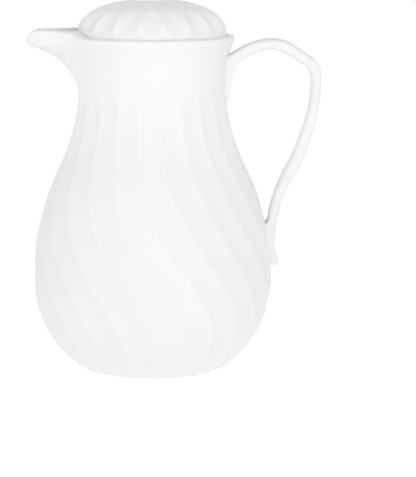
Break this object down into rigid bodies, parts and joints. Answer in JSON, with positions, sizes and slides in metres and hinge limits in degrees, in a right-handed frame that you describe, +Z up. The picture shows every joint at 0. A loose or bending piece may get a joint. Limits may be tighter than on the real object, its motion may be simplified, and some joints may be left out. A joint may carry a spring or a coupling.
{
  "type": "insulated jug",
  "caption": "Insulated serving jug with a pear-shaped, swirl-fluted body, open beak spout, strap handle and a scalloped lift-out lid with a push-button pouring valve.",
  "frame": {"origin": "on the vessel's axis, in the plane that the jug stands on", "axes": "+Z up along the vessel's axis, spout towards -X, handle towards +X"},
  "size_m": [0.2063, 0.1668, 0.2626],
  "materials": {
    "shell_plastic": "white moulded plastic, satin",
    "lid_plastic": "white moulded plastic, satin",
    "liner_plastic": "smooth food-safe plastic",
    "base_plastic": "fine-grained moulded plastic",
    "stopper_plastic": "moulded plastic",
    "foam": "rigid foam, cellular",
    "seal_rubber": "soft translucent grey rubber",
    "steel": "plain stainless"
  },
  "bodies": {
    "jug": {"upper_shell": "shell_plastic", "lower_shell": "shell_plastic", "inner_liner": "liner_plastic", "insulation_foam": "foam", "neck_gasket": "seal_rubber", "base_plate": "base_plastic", "base_seal": "seal_rubber", "fill_plug": "base_plastic", "handle": "shell_plastic", "handle_screw_upper": "steel", "handle_screw_lower": "steel"},
    "lid_carrier": {"stopper_gasket": "seal_rubber"},
    "lid": {"lid_cap": "lid_plastic", "stopper_body": "stopper_plastic", "lid_screw_1": "steel", "lid_screw_2": "steel", "lid_screw_3": "steel", "return_spring": "steel"},
    "valve": {"push_button": "lid_plastic", "valve_stem": "steel", "valve_disc": "stopper_plastic", "valve_seal": "seal_rubber", "stem_clip": "steel"}
  },
  "joints": [
    {"name": "lid_lift", "type": "slide", "parent": "jug", "child": "lid_carrier", "axis": [0, 0, 1], "range_m": [0, 0.08]},
    {"name": "lid_twist", "type": "hinge", "parent": "lid_carrier", "child": "lid", "pos_m": [0, 0, 0.2065], "axis": [0, 0, 1], "range_deg": [-30, 0]},
    {"name": "button_press", "type": "slide", "parent": "lid", "child": "valve", "axis": [0, 0, -1], "range_m": [0, 0.005], "stiffness_N_per_m": 400, "springref_m": -0.005, "deforming": ["return_spring"]}
  ]
}
